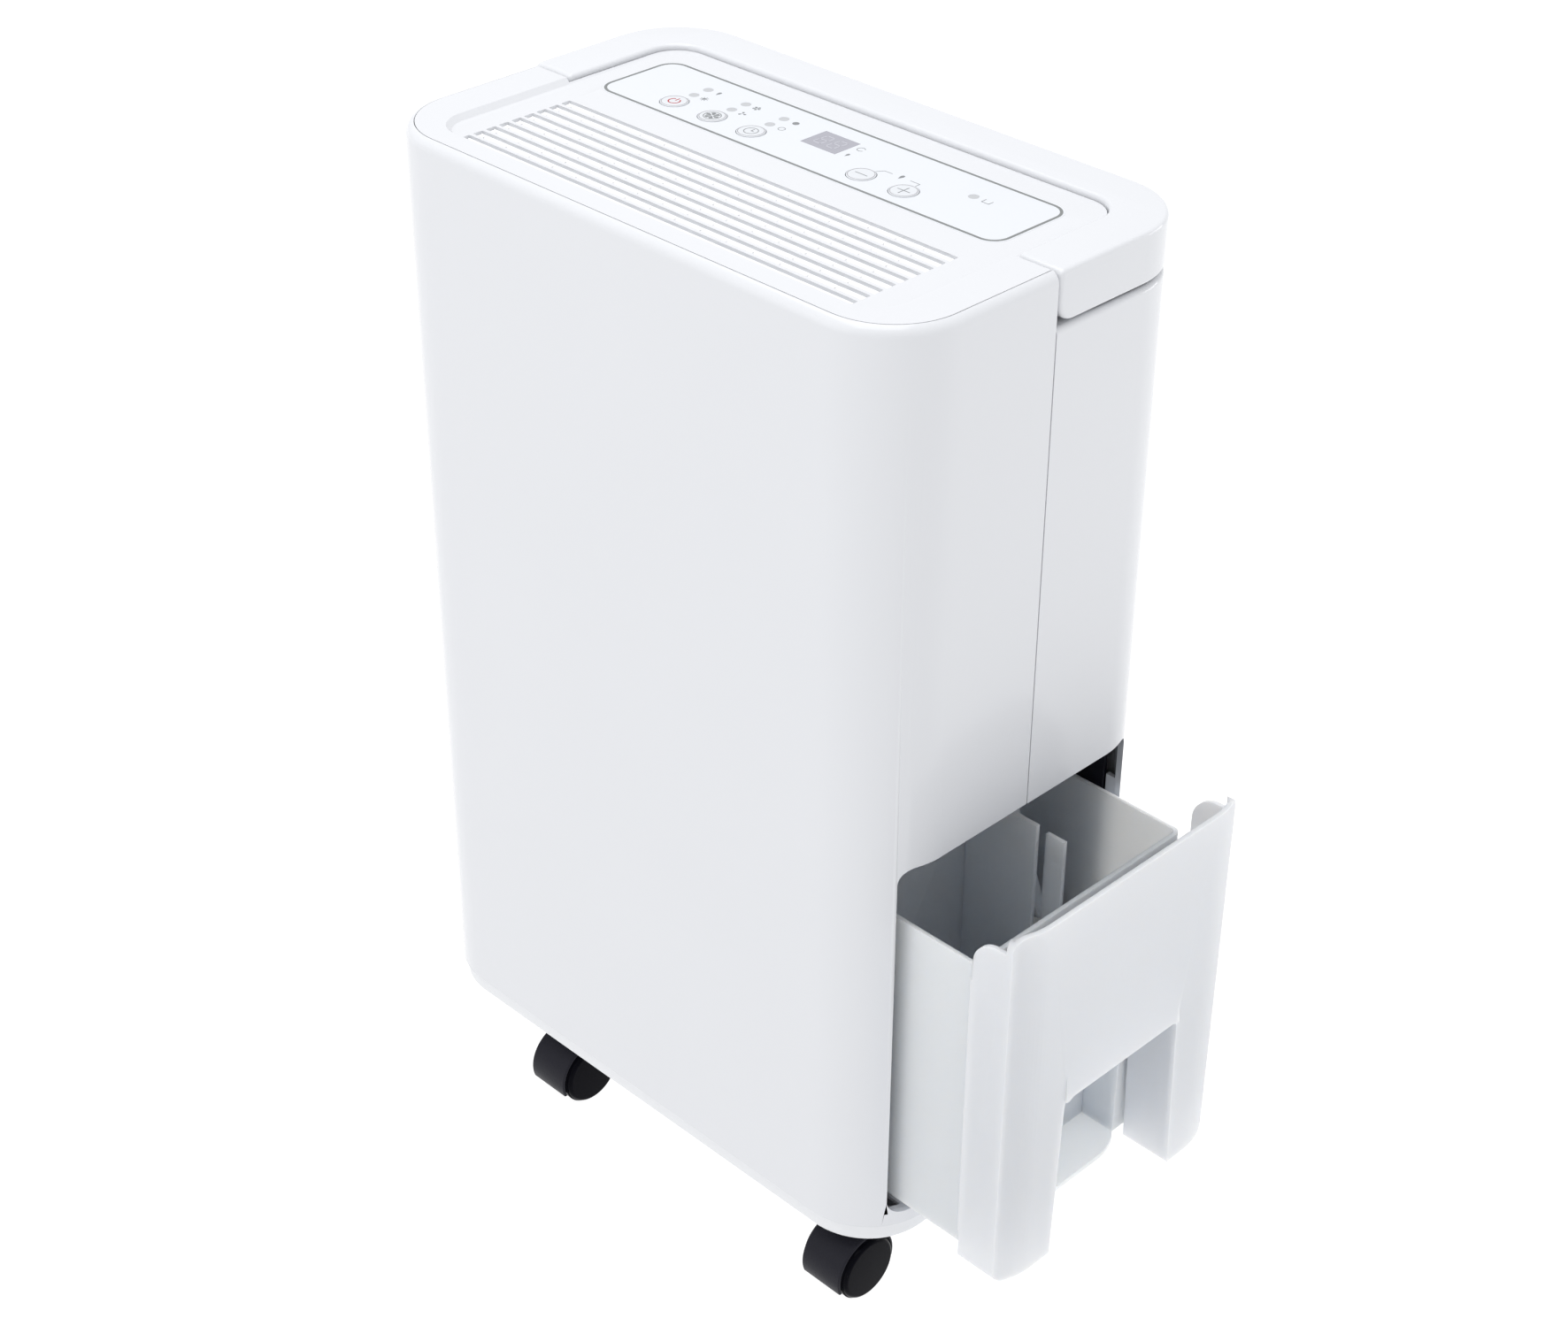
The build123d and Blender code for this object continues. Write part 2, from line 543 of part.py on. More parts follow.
with BuildPart() as tank_front:
    # curved face, flush with the casing when closed, and side flanges that reach back to the tank
    with BuildSketch(Plane.XY.offset(COVER_Z[0])):
        outline(0)
        outline(COVER_T, mode=Mode.SUBTRACT)
        with Locations((WIDTH / 2, 0)):
            Rectangle(30, 2 * COVER_HALF_Y + 6, mode=Mode.INTERSECT)
        for side in (-1, 1):
            with Locations((FLANGE_X, side * (COVER_HALF_Y - COVER_T + 2))):
                Rectangle(FLANGE_FRONT_X - FLANGE_X, 4, align=(Align.MIN, Align.CENTER))
    extrude(amount=COVER_Z[1] - COVER_Z[0])
    # trimmed to its width, with rounded upper and lower corners, seen along X
    with BuildSketch(Plane.YZ.offset(FLANGE_X - 5)) as face_outline:
        with Locations((0, sum(COVER_Z) / 2)):
            Rectangle(2 * COVER_HALF_Y, COVER_Z[1] - COVER_Z[0])
        fillet(face_outline.vertices().group_by(Axis.Y)[-1], 7)
        fillet(face_outline.vertices().group_by(Axis.Y)[0], 4)
    extrude(amount=40, mode=Mode.INTERSECT)
    # the flanges stop short of the top and round off at the back
    for side in (-1, 1):
        block(
            (FLANGE_X - 1, min(side * 64, side * 70), FLANGE_TOP),
            (FLANGE_FRONT_X - 1.6, max(side * 64, side * 70), COVER_Z[1] + 1),
            mode=Mode.SUBTRACT,
        )
    flange_tops = tank_front.edges().filter_by(Axis.Y).group_by(Axis.X)[0].group_by(Axis.Z)[-1]
    fillet(flange_tops, 12)
    # inturned edges that join the flanges to the tank
    for side in (-1, 1):
        block(
            (TANK_X[1], min(side * 56, side * 67.5), 22),
            (FLANGE_X + 2, max(side * 56, side * 67.5), 156),
        )
    # grip: the face swells out above the finger gap
    with BuildSketch(Plane.XZ):
        with BuildLine():
            Polyline(
                (WIDTH / 2 - 1, GAP_TOP - 1), (WIDTH / 2 + BROW, GAP_TOP - 1), (WIDTH / 2, GAP_TOP + 13),
                (WIDTH / 2 - 1, GAP_TOP + 13), close=True,
            )
        make_face()
    extrude(amount=GAP_HALF_Y[1], both=True)
    # finger gap, widening downwards, with a flange along each side
    with BuildSketch(Plane.YZ.offset(FLANGE_X)):
        with BuildLine():
            Polyline(
                (-GAP_HALF_Y[0] - 2, COVER_Z[0]), (GAP_HALF_Y[0] + 2, COVER_Z[0]),
                (GAP_HALF_Y[1] + 2, GAP_TOP), (-GAP_HALF_Y[1] - 2, GAP_TOP), close=True,
            )
        make_face()
    extrude(amount=WIDTH / 2 - 1 - FLANGE_X)
    with BuildSketch(Plane.YZ.offset(FLANGE_X - 1)) as gap:
        with BuildLine():
            Polyline(
                (-GAP_HALF_Y[0], COVER_Z[0] - 1), (GAP_HALF_Y[0], COVER_Z[0] - 1),
                (GAP_HALF_Y[1], GAP_TOP), (-GAP_HALF_Y[1], GAP_TOP), close=True,
            )
        make_face()
        fillet(gap.vertices().group_by(Axis.Y)[-1], 5)
    extrude(amount=40, mode=Mode.SUBTRACT)
place(tank_front.part, "tank_front", drawn_out=True)

with BuildPart() as float_pin:
    pin_length = TANK_HALF_Y - TANK_T - PARTITION_Y - 2
    rod((FLOAT_PIVOT[0], PARTITION_Y + 2, FLOAT_PIVOT[1]), FLOAT_PIN_R, pin_length, "Y")
place(float_pin.part, "float_pin", drawn_out=True)

with BuildPart() as float_arm:
    rod((FLOAT_PIVOT[0], 41, FLOAT_PIVOT[1]), 4, 6, "Y")
    with BuildSketch(Plane.XZ.offset(-41)):
        with BuildLine():
            Polyline(
                (FLOAT_PIVOT[0] - 3, FLOAT_PIVOT[1]), (FLOAT_PIVOT[0] + 3, FLOAT_PIVOT[1] + 1),
                (FLOAT_MID[0] + 4, FLOAT_TOP), (FLOAT_MID[0] - 4, FLOAT_TOP), close=True,
            )
        make_face()
    extrude(amount=-6)
    rod((FLOAT_PIVOT[0], 40, FLOAT_PIVOT[1]), FLOAT_PIN_R + RUN, 8, "Y", Mode.SUBTRACT)
place(float_arm.part, "float_arm", drawn_out=True)

with BuildPart() as float_block:
    block((FLOAT_MID[0] - 12, 32, FLOAT_TOP - 24), (FLOAT_MID[0] + 12, 56, FLOAT_TOP))
    fillet(float_block.edges(), 2)
place(float_block.part, "float_block", drawn_out=True)

# ================= air path =================

with BuildPart() as scroll_housing:
    with BuildSketch(Plane.XZ.offset(-SCROLL_Y[0])):
        with Locations((0, FAN_Z)):
            Circle(SCROLL_R)
            Rectangle(2 * SCROLL_R, SCROLL_TOP - FAN_Z, align=(Align.CENTER, Align.MIN))
    extrude(amount=SCROLL_Y[0] - SCROLL_Y[1])
    with BuildSketch(Plane.XZ.offset(-SCROLL_Y[0] - SCROLL_T)):
        with Locations((0, FAN_Z)):
            Circle(SCROLL_R - SCROLL_T)
            Rectangle(2 * (SCROLL_R - SCROLL_T), SCROLL_TOP, align=(Align.CENTER, Align.MIN))
    extrude(amount=SCROLL_Y[0] - SCROLL_Y[1] + 2 * SCROLL_T, mode=Mode.SUBTRACT)
    rod((0, SCROLL_Y[1] - 5, FAN_Z), INLET_R, 10, "Y", Mode.SUBTRACT)
place(scroll_housing.part, "scroll_housing")

with BuildPart() as impeller:
    rod((0, FAN_Y[0], FAN_Z), FAN_R, 2, "Y")
    rod((0, FAN_Y[0], FAN_Z), 12, 16, "Y")
    # forward-curved blades and the ring that ties them
    with BuildSketch(Plane.XZ.offset(-FAN_Y[0] - 1)):
        with Locations((0, FAN_Z)):
            with PolarLocations(FAN_R - 6, BLADES):
                Rectangle(11, 1.2, rotation=35)
    extrude(amount=FAN_Y[0] - FAN_Y[1] + 2)
    with BuildSketch(Plane.XZ.offset(-FAN_Y[1])):
        with Locations((0, FAN_Z)):
            Circle(FAN_R)
            Circle(FAN_R - 8, mode=Mode.SUBTRACT)
    extrude(amount=2)
    rod((0, FAN_Y[0] - 1, FAN_Z), SHAFT_R, 20, "Y", Mode.SUBTRACT)
place(impeller.part, "impeller")

with BuildPart() as fan_shaft:
    rod((0, FAN_Y[0], FAN_Z), SHAFT_R, MOTOR_Y[0] + 10 - FAN_Y[0], "Y")
place(fan_shaft.part, "fan_shaft")

with BuildPart() as fan_motor:
    rod((0, MOTOR_Y[0], FAN_Z), MOTOR_R, MOTOR_Y[1] - MOTOR_Y[0], "Y")
    fillet(fan_motor.faces().sort_by(Axis.Y)[0].edges(), 3)
    rod((0, MOTOR_Y[0] - 1, FAN_Z), SHAFT_R + RUN, 14, "Y", Mode.SUBTRACT)
place(fan_motor.part, "fan_motor")

with BuildPart() as motor_bracket:
    with BuildSketch(Plane.XZ.offset(-SCROLL_Y[1])):
        with Locations((0, FAN_Z)):
            Circle(MOTOR_R)
            for angle in (90, 210, 330):
                Rectangle(INLET_R + 12, 12, rotation=angle, align=(Align.MIN, Align.CENTER))
    extrude(amount=-BRACKET_T)
place(motor_bracket.part, "motor_bracket")

with BuildPart() as bulkhead:
    bulkhead_y = SCROLL_Y[1] + BRACKET_T
    block((-136, bulkhead_y, TRAY_Z[1] + 2), (136, bulkhead_y + 2, 396))
    rod((0, bulkhead_y - 1, FAN_Z), INLET_R + 2, 4, "Y", Mode.SUBTRACT)
place(bulkhead.part, "bulkhead")

# ================= cold circuit =================

coil_mid_z = sum(COIL_Z) / 2
for coil_name, coil_y in (("evaporator", EVAPORATOR_Y), ("condenser", CONDENSER_Y)):
    with BuildPart() as coil:
        coil_mid_y = sum(coil_y) / 2
        with Locations((0, coil_mid_y, coil_mid_z)):
            with GridLocations(2 * (COIL_HALF_X - 2) / (FIN_COUNT - 1), 0, FIN_COUNT, 1):
                Box(0.5, coil_y[1] - coil_y[0], COIL_Z[1] - COIL_Z[0])
        # end plates that stand in the tray
        for side in (-1, 1):
            with Locations((side * COIL_HALF_X, coil_mid_y, (TRAY_Z[0] + 2 + COIL_Z[1]) / 2)):
                Box(1.6, coil_y[1] - coil_y[0], COIL_Z[1] - TRAY_Z[0] - 2)
        # one tube that runs back and forth through the fins
        turns = []
        for row in range(TUBE_ROWS):
            side = -1 if row % 2 else 1
            tube_z = COIL_Z[0] + TUBE_PITCH * (row + 0.5)
            turns += [(-side * BEND_X, coil_mid_y, tube_z), (side * BEND_X, coil_mid_y, tube_z)]
        with BuildLine() as tube_line:
            FilletPolyline(*turns, radius=TUBE_PITCH / 2 - 0.3)
        with BuildSketch(Plane(origin=tube_line.line @ 0, z_dir=tube_line.line % 0)):
            Circle(TUBE_R)
        sweep(path=tube_line.line)
    place(coil.part, coil_name)

with BuildPart() as drip_tray:
    block((-TRAY_HALF_X, TRAY_Y[0], TRAY_Z[0]), (TRAY_HALF_X, TRAY_Y[1], TRAY_Z[1]))
    block(
        (-TRAY_HALF_X + 2, TRAY_Y[0] + 2, TRAY_Z[0] + 2),
        (TRAY_HALF_X - 2, TRAY_Y[1] - 2, TRAY_Z[1] + 1),
        mode=Mode.SUBTRACT,
    )
    rod((*DRIP, TRAY_Z[0] - 6), DRIP_R + 2, 7)
    rod((*DRIP, TRAY_Z[0] - 7), DRIP_R, 12, mode=Mode.SUBTRACT)
    rod((SPOUT[0], TRAY_Y[1] - 3, SPOUT[1]), SPOUT_BORE, 6, "Y", Mode.SUBTRACT)
place(drip_tray.part, "drip_tray")

with BuildPart() as compressor:
    rod((*COMPRESSOR, COMPRESSOR_Z[0]), COMPRESSOR_R, COMPRESSOR_Z[1] - COMPRESSOR_Z[0])
    fillet(compressor.edges(), 22)
    rod((*COMPRESSOR, sum(COMPRESSOR_Z) / 2 - 3), COMPRESSOR_R + 1.5, 6)
place(compressor.part, "compressor")

with BuildPart() as compressor_base:
    with BuildSketch(Plane.XY.offset(FOOT_TOP)):
        with Locations(COMPRESSOR):
            Circle(30)
            for angle in FOOT_ANGLES:
                Rectangle(FOOT_RADIUS, 14, rotation=angle, align=(Align.MIN, Align.CENTER))
            with PolarLocations(FOOT_RADIUS, 3, start_angle=FOOT_ANGLES[0]):
                Circle(8.5)
                Circle(3, mode=Mode.SUBTRACT)
    extrude(amount=COMPRESSOR_Z[0] - FOOT_TOP)
place(compressor_base.part, "compressor_base")

foot_places = [
    (
        COMPRESSOR[0] + FOOT_RADIUS * cos(radians(a)),
        COMPRESSOR[1] + FOOT_RADIUS * sin(radians(a)),
        PAN_FLOOR,
    )
    for a in FOOT_ANGLES
]
with BuildPart() as compressor_mounts:
    for spot in foot_places:
        rod(spot, 7.5, FOOT_TOP - PAN_FLOOR)
        rod(spot, 3, FOOT_TOP - PAN_FLOOR, mode=Mode.SUBTRACT)
place(compressor_mounts.part, "compressor_mounts")

with BuildPart() as compressor_bolts:
    for spot in foot_places:
        rod(spot, 3, COMPRESSOR_Z[0] - PAN_FLOOR)
        rod((spot[0], spot[1], COMPRESSOR_Z[0]), 5, 4)
place(compressor_bolts.part, "compressor_bolts")

with BuildPart() as accumulator:
    rod((*ACCUMULATOR, 34), 13, 92)
    fillet(accumulator.edges(), 8)
place(accumulator.part, "accumulator")

with BuildPart() as refrigerant_pipes:
    for route in (
        # accumulator to compressor
        (
            (*ACCUMULATOR, 34),
            (*ACCUMULATOR, 18),
            (ACCUMULATOR[0], COMPRESSOR[1], 18),
            (ACCUMULATOR[0], COMPRESSOR[1], 60),
            (COMPRESSOR[0] + COMPRESSOR_R, COMPRESSOR[1], 60),
        ),
        # evaporator to accumulator
        ((*ACCUMULATOR, 126), (*ACCUMULATOR, 178), (-114, 60, 178), (-114, 60, 214)),
        # compressor to condenser
        ((*COMPRESSOR, COMPRESSOR_Z[1]), (*COMPRESSOR, 184), (-114, 34, 184), (-114, 34, 214)),
    ):
        with BuildLine() as pipe_line:
            FilletPolyline(*route, radius=5.5)
        with BuildSketch(Plane(origin=pipe_line.line @ 0, z_dir=pipe_line.line % 0)):
            Circle(PIPE_R)
        sweep(path=pipe_line.line)
place(refrigerant_pipes.part, "refrigerant_pipes")

# ================= electrics, rear filter and fittings =================

with BuildPart() as electronics_box:
    block((98, -62, 232), (137, -12, 348))
    fillet(electronics_box.edges().filter_by(Axis.Z), 4)
place(electronics_box.part, "electronics_box")

filter_half_x = INTAKE_HALF_X - FILTER_GAP
filter_z = (INTAKE_Z[0] + FILTER_GAP, INTAKE_Z[1] - FILTER_GAP)
with BuildPart() as filter_frame:
    block((-filter_half_x, FILTER_Y[0], filter_z[0]), (filter_half_x, FILTER_Y[1], filter_z[1]))
    fillet(filter_frame.edges().filter_by(Axis.Y), 3)
    block(
        (-filter_half_x + 7, FILTER_Y[0] - 1, filter_z[0] + 7),
        (filter_half_x - 7, FILTER_Y[1] + 1, filter_z[1] - 7),
        mode=Mode.SUBTRACT,
    )
    # sloping louvres and two uprights
    louvre_pitch = (filter_z[1] - filter_z[0] - 14) / LOUVRES
    for row in range(LOUVRES):
        louvre_z = filter_z[0] + 7 + louvre_pitch * (row + 0.5)
        with Locations(Location((0, FILTER_Y[1] - 3.4, louvre_z), (35, 0, 0))):
            Box(2 * filter_half_x - 13, 7.6, 1.6)
    with Locations((0, FILTER_Y[1] - 5, sum(filter_z) / 2)):
        with GridLocations(62, 0, 2, 1):
            Box(3, 5, filter_z[1] - filter_z[0] - 13)
    # finger notch at the top
    with BuildSketch(Plane.XZ.offset(-FILTER_Y[1])):
        with Locations((0, filter_z[1] - 3)):
            SlotOverall(46, 9)
    extrude(amount=3, mode=Mode.SUBTRACT)
place(filter_frame.part, "filter_frame")

with BuildPart() as filter_mesh:
    block(
        (-filter_half_x + 7, FILTER_Y[0], filter_z[0] + 7),
        (filter_half_x - 7, FILTER_Y[0] + 0.6, filter_z[1] - 7),
    )
place(filter_mesh.part, "filter_mesh")

with BuildPart() as drain_spout:
    rod((SPOUT[0], TRAY_Y[1], SPOUT[1]), SPOUT_R, DEPTH / 2 + SPOUT_LENGTH - TRAY_Y[1], "Y")
    rod((SPOUT[0], TRAY_Y[1], SPOUT[1]), SPOUT_R + SPOUT_COLLAR, DEPTH / 2 - TRAY_Y[1], "Y")
    rod((SPOUT[0], TRAY_Y[1] - 1, SPOUT[1]), SPOUT_BORE, 40, "Y", Mode.SUBTRACT)
place(drain_spout.part, "drain_spout")

with BuildPart() as drain_plug:
    plug_y = DEPTH / 2 + SPOUT_LENGTH + 0.3
    rod((SPOUT[0], plug_y - 14, SPOUT[1]), SPOUT_BORE - RUN, 14, "Y")
    rod((SPOUT[0], plug_y, SPOUT[1]), SPOUT_R - 0.5, PLUG_HEAD, "Y")
    fillet(drain_plug.faces().sort_by(Axis.Y)[-1].edges(), 0.8)
place(drain_plug.part, "drain_plug")

with BuildPart() as cord_inlet:
    rod((GROMMET[0], GROMMET_Y[0], GROMMET[1]), GROMMET_R, GROMMET_Y[1] - GROMMET_Y[0], "Y")
    rod((GROMMET[0], GROMMET_Y[0], GROMMET[1]), GROMMET_R + 2.5, DEPTH / 2 - WALL - GROMMET_Y[0], "Y")
    rod((GROMMET[0], DEPTH / 2, GROMMET[1]), GROMMET_R + 2.5, GROMMET_Y[1] - DEPTH / 2, "Y")
    fillet(cord_inlet.faces().sort_by(Axis.Y)[-1].edges(), 1)
    rod((GROMMET[0], GROMMET_Y[0] - 1, GROMMET[1]), GROMMET_BORE, 14, "Y", Mode.SUBTRACT)
place(cord_inlet.part, "cord_inlet")

with BuildPart() as casing_screws:
    for x, z in SCREW_XZ:
        rod((x, DEPTH / 2 - 14, z), 1.9, 12.8, "Y")
        rod((x, DEPTH / 2 - 1.2, z), 3.9, 1.0, "Y")
        with Locations((x, DEPTH / 2 - 0.2, z)):
            Box(0.9, 1.2, 4.2, mode=Mode.SUBTRACT)
            Box(4.2, 1.2, 0.9, mode=Mode.SUBTRACT)
place(casing_screws.part, "casing_screws")

# ================= casters =================

with BuildPart() as caster_stems:
    for x in CASTER_X.values():
        for y in STEM_Y.values():
            rod((x, y, STEM_Z[0]), STEM_R, STEM_Z[1] - STEM_Z[0])
place(caster_stems.part, "caster_stems")

for x_name, caster_x in CASTER_X.items():
    for y_name, stem_y in STEM_Y.items():
        axle_y = stem_y - TRAIL
        with BuildPart() as hood:
            # curved hood over both wheels, with the web between them
            with BuildSketch(Plane.YZ.offset(caster_x)):
                with Locations((axle_y, AXLE_Z)):
                    Circle(HOOD_R)
                with BuildLine():
                    low = [
                        (axle_y + 40 * cos(radians(a)), AXLE_Z + 40 * sin(radians(a)))
                        for a in (HOOD_ARC[1], 240, 300, 360 + HOOD_ARC[0])
                    ]
                    Polyline((axle_y, AXLE_Z), *low, close=True)
                make_face(mode=Mode.SUBTRACT)
            extrude(amount=HOOD_HALF_X, both=True)
            fillet(hood.edges().filter_by(GeomType.CIRCLE).sort_by(SortBy.RADIUS)[-2:], 0.8)
            rod((caster_x - WEB_HALF_X, axle_y, AXLE_Z), WHEEL_R - 1.5, 2 * WEB_HALF_X, "X")
            rod((caster_x, stem_y, AXLE_Z + 8), 6.5, HOOD_R + 0.7 - 8)
            for side in (-1, 1):
                start_x = caster_x + (WEB_HALF_X if side > 0 else -WEB_HALF_X - 20)
                rod((start_x, axle_y, AXLE_Z), HOOD_BORE, 20, "X", Mode.SUBTRACT)
            rod((caster_x, stem_y, STEM_Z[0] - 0.1), STEM_R + RUN, 20, mode=Mode.SUBTRACT)
            rod((caster_x - 8, axle_y, AXLE_Z), AXLE_R, 16, "X", Mode.SUBTRACT)
        place(hood.part, f"caster_hood_{y_name}_{x_name}")

        with BuildPart() as axle:
            rod((caster_x - AXLE_HALF, axle_y, AXLE_Z), AXLE_R, 2 * AXLE_HALF, "X")
        place(axle.part, f"caster_axle_{y_name}_{x_name}")

        with BuildPart() as wheels:
            for side in (-1, 1):
                inner = caster_x + side * WHEEL_X[0]
                rod((min(inner, inner + side * 6.4), axle_y, AXLE_Z), WHEEL_R, 6.4, "X")
                # domed outer face
                outer = caster_x + side * WHEEL_X[1]
                rod((min(inner, outer), axle_y, AXLE_Z), WHEEL_R - 0.6, WHEEL_X[1] - WHEEL_X[0], "X")
            fillet(wheels.faces().sort_by(Axis.X)[0].edges(), 1.9)
            fillet(wheels.faces().sort_by(Axis.X)[-1].edges(), 1.9)
            axle_start = (caster_x - AXLE_HALF - 0.3, axle_y, AXLE_Z)
            rod(axle_start, AXLE_R + RUN, 2 * AXLE_HALF + 0.6, "X", Mode.SUBTRACT)
        place(wheels.part, f"caster_wheels_{y_name}_{x_name}")
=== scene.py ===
import json
from math import cos, pi, radians, sin

import bmesh
import bpy
from mathutils import Matrix, Vector


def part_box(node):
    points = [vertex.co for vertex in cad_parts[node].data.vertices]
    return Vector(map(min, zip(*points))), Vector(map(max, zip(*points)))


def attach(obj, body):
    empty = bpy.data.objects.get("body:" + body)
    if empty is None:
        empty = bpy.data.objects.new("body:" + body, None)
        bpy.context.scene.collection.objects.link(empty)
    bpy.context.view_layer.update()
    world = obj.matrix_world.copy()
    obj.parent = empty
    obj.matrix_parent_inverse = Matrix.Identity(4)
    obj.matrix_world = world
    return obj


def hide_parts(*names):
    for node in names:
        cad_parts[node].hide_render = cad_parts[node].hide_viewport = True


# A compact dehumidifier in a white studio. Metres; the CAD frame gives every place.

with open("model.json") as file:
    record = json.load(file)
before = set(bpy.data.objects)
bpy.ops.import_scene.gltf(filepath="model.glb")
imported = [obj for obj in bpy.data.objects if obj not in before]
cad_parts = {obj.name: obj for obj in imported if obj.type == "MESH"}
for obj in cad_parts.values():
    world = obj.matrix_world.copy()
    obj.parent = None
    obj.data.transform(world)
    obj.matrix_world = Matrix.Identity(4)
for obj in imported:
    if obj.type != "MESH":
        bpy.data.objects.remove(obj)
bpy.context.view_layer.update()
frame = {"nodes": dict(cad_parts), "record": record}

MM = 0.001
scene = bpy.context.scene
nodes = frame["nodes"]
bodies = frame["record"]["behaviour"]["bodies"]
body_of = {node: body for body, members in bodies.items() for node in members}
slot_of = {entry["node"]: entry["material_slot"] for entry in frame["record"]["subparts"]}


# ================= camera, lights and floor =================

CAMERA_AT = Vector((0.69973, -0.73172, 0.89768))
CAMERA_TURN = radians(44.9164)
CAMERA_DOWN = radians(32.6993)
CAMERA_ROLL = radians(0.3485)
SENSOR_WIDTH = 36
FOCAL_LENGTH = 64.68

SKY_COLOR = (0.985, 0.99, 1.0, 1)
SKY_STRENGTH = 0.77
FLOOR_COLOR = (0.25, 0.25, 0.25)
FLOOR_GLOW = 0.93
FLOOR_HALF = 20.0
# name, place, point it is aimed at, width and height, power in watts
SOFTBOXES = (
    ("top_softbox", (-0.2, -0.2, 1.9), (0, 0, 0.3), (1.6, 1.2), 17),
    ("front_softbox", (-0.7, -1.8, 0.9), (0, 0, 0.25), (1.2, 1.2), 3.5),
    ("rear_softbox", (0.9, 1.6, 0.5), (0.1, 0, 0.15), (0.8, 0.5), 5),
)


def add_camera():
    """A camera that looks down on the corner between the wide front and the tank's end."""
    level = cos(CAMERA_DOWN)
    back = Vector((sin(CAMERA_TURN) * level, -cos(CAMERA_TURN) * level, sin(CAMERA_DOWN)))
    level_right = Vector((cos(CAMERA_TURN), sin(CAMERA_TURN), 0))
    level_up = back.cross(level_right)
    right = cos(CAMERA_ROLL) * level_right + sin(CAMERA_ROLL) * level_up
    up = -sin(CAMERA_ROLL) * level_right + cos(CAMERA_ROLL) * level_up
    data = bpy.data.cameras.new("camera")
    data.sensor_width = SENSOR_WIDTH
    data.lens = FOCAL_LENGTH
    camera = bpy.data.objects.new("camera", data)
    turn = Matrix((right, up, back)).transposed().to_4x4()
    camera.matrix_world = Matrix.Translation(CAMERA_AT) @ turn
    scene.collection.objects.link(camera)
    scene.camera = camera


def add_softbox(name, at, aim, size, power):
    """A rectangular area light that points at aim."""
    data = bpy.data.lights.new(name, "AREA")
    data.shape = "RECTANGLE"
    data.size, data.size_y = size
    data.energy = power
    light = bpy.data.objects.new(name, data)
    light.location = at
    light.rotation_euler = (Vector(aim) - Vector(at)).to_track_quat("-Z", "Y").to_euler()
    scene.collection.objects.link(light)


def add_studio():
    """A white floor that glows a little, an even sky and three softboxes."""
    world = bpy.data.worlds.new("studio")
    scene.world = world
    world.use_nodes = True
    background = world.node_tree.nodes["Background"]
    background.inputs["Color"].default_value = SKY_COLOR
    background.inputs["Strength"].default_value = SKY_STRENGTH
    scene.view_settings.view_transform = "Standard"
    for softbox in SOFTBOXES:
        add_softbox(*softbox)
    mesh = bpy.data.meshes.new("floor")
    corners = ((-1, -1), (1, -1), (1, 1), (-1, 1))
    points = [(x * FLOOR_HALF, y * FLOOR_HALF, 0) for x, y in corners]
    mesh.from_pydata(points, [], [(0, 1, 2, 3)])
    floor = bpy.data.objects.new("floor", mesh)
    scene.collection.objects.link(floor)
    material, shader, _ = new_material("studio_floor", FLOOR_COLOR, 0.9)
    shader.inputs["Emission Color"].default_value = (1, 1, 1, 1)
    shader.inputs["Emission Strength"].default_value = FLOOR_GLOW
    mesh.materials.append(material)


# ================= materials =================

# how deep each relief is, in metres
GRAIN_DEPTH = 0.0002
WAVE_DEPTH = 0.002
BRUSH_DEPTH = 0.0001
NET_DEPTH = 0.0003


def new_material(name, color, roughness):
    """Makes a Principled material; returns it, its shader and a function that adds nodes."""
    material = bpy.data.materials.new(name)
    material.use_nodes = True
    tree = material.node_tree
    shader = tree.nodes["Principled BSDF"]
    shader.inputs["Base Color"].default_value = (*color, 1)
    shader.inputs["Roughness"].default_value = roughness

    def add(kind, values=None, **links):
        node = tree.nodes.new(kind)
        for socket, value in (values or {}).items():
            node.inputs[socket].default_value = value
        for socket, source in links.items():
            tree.links.new(source, node.inputs[socket.replace("_", " ")])
        return node

    return material, shader, add


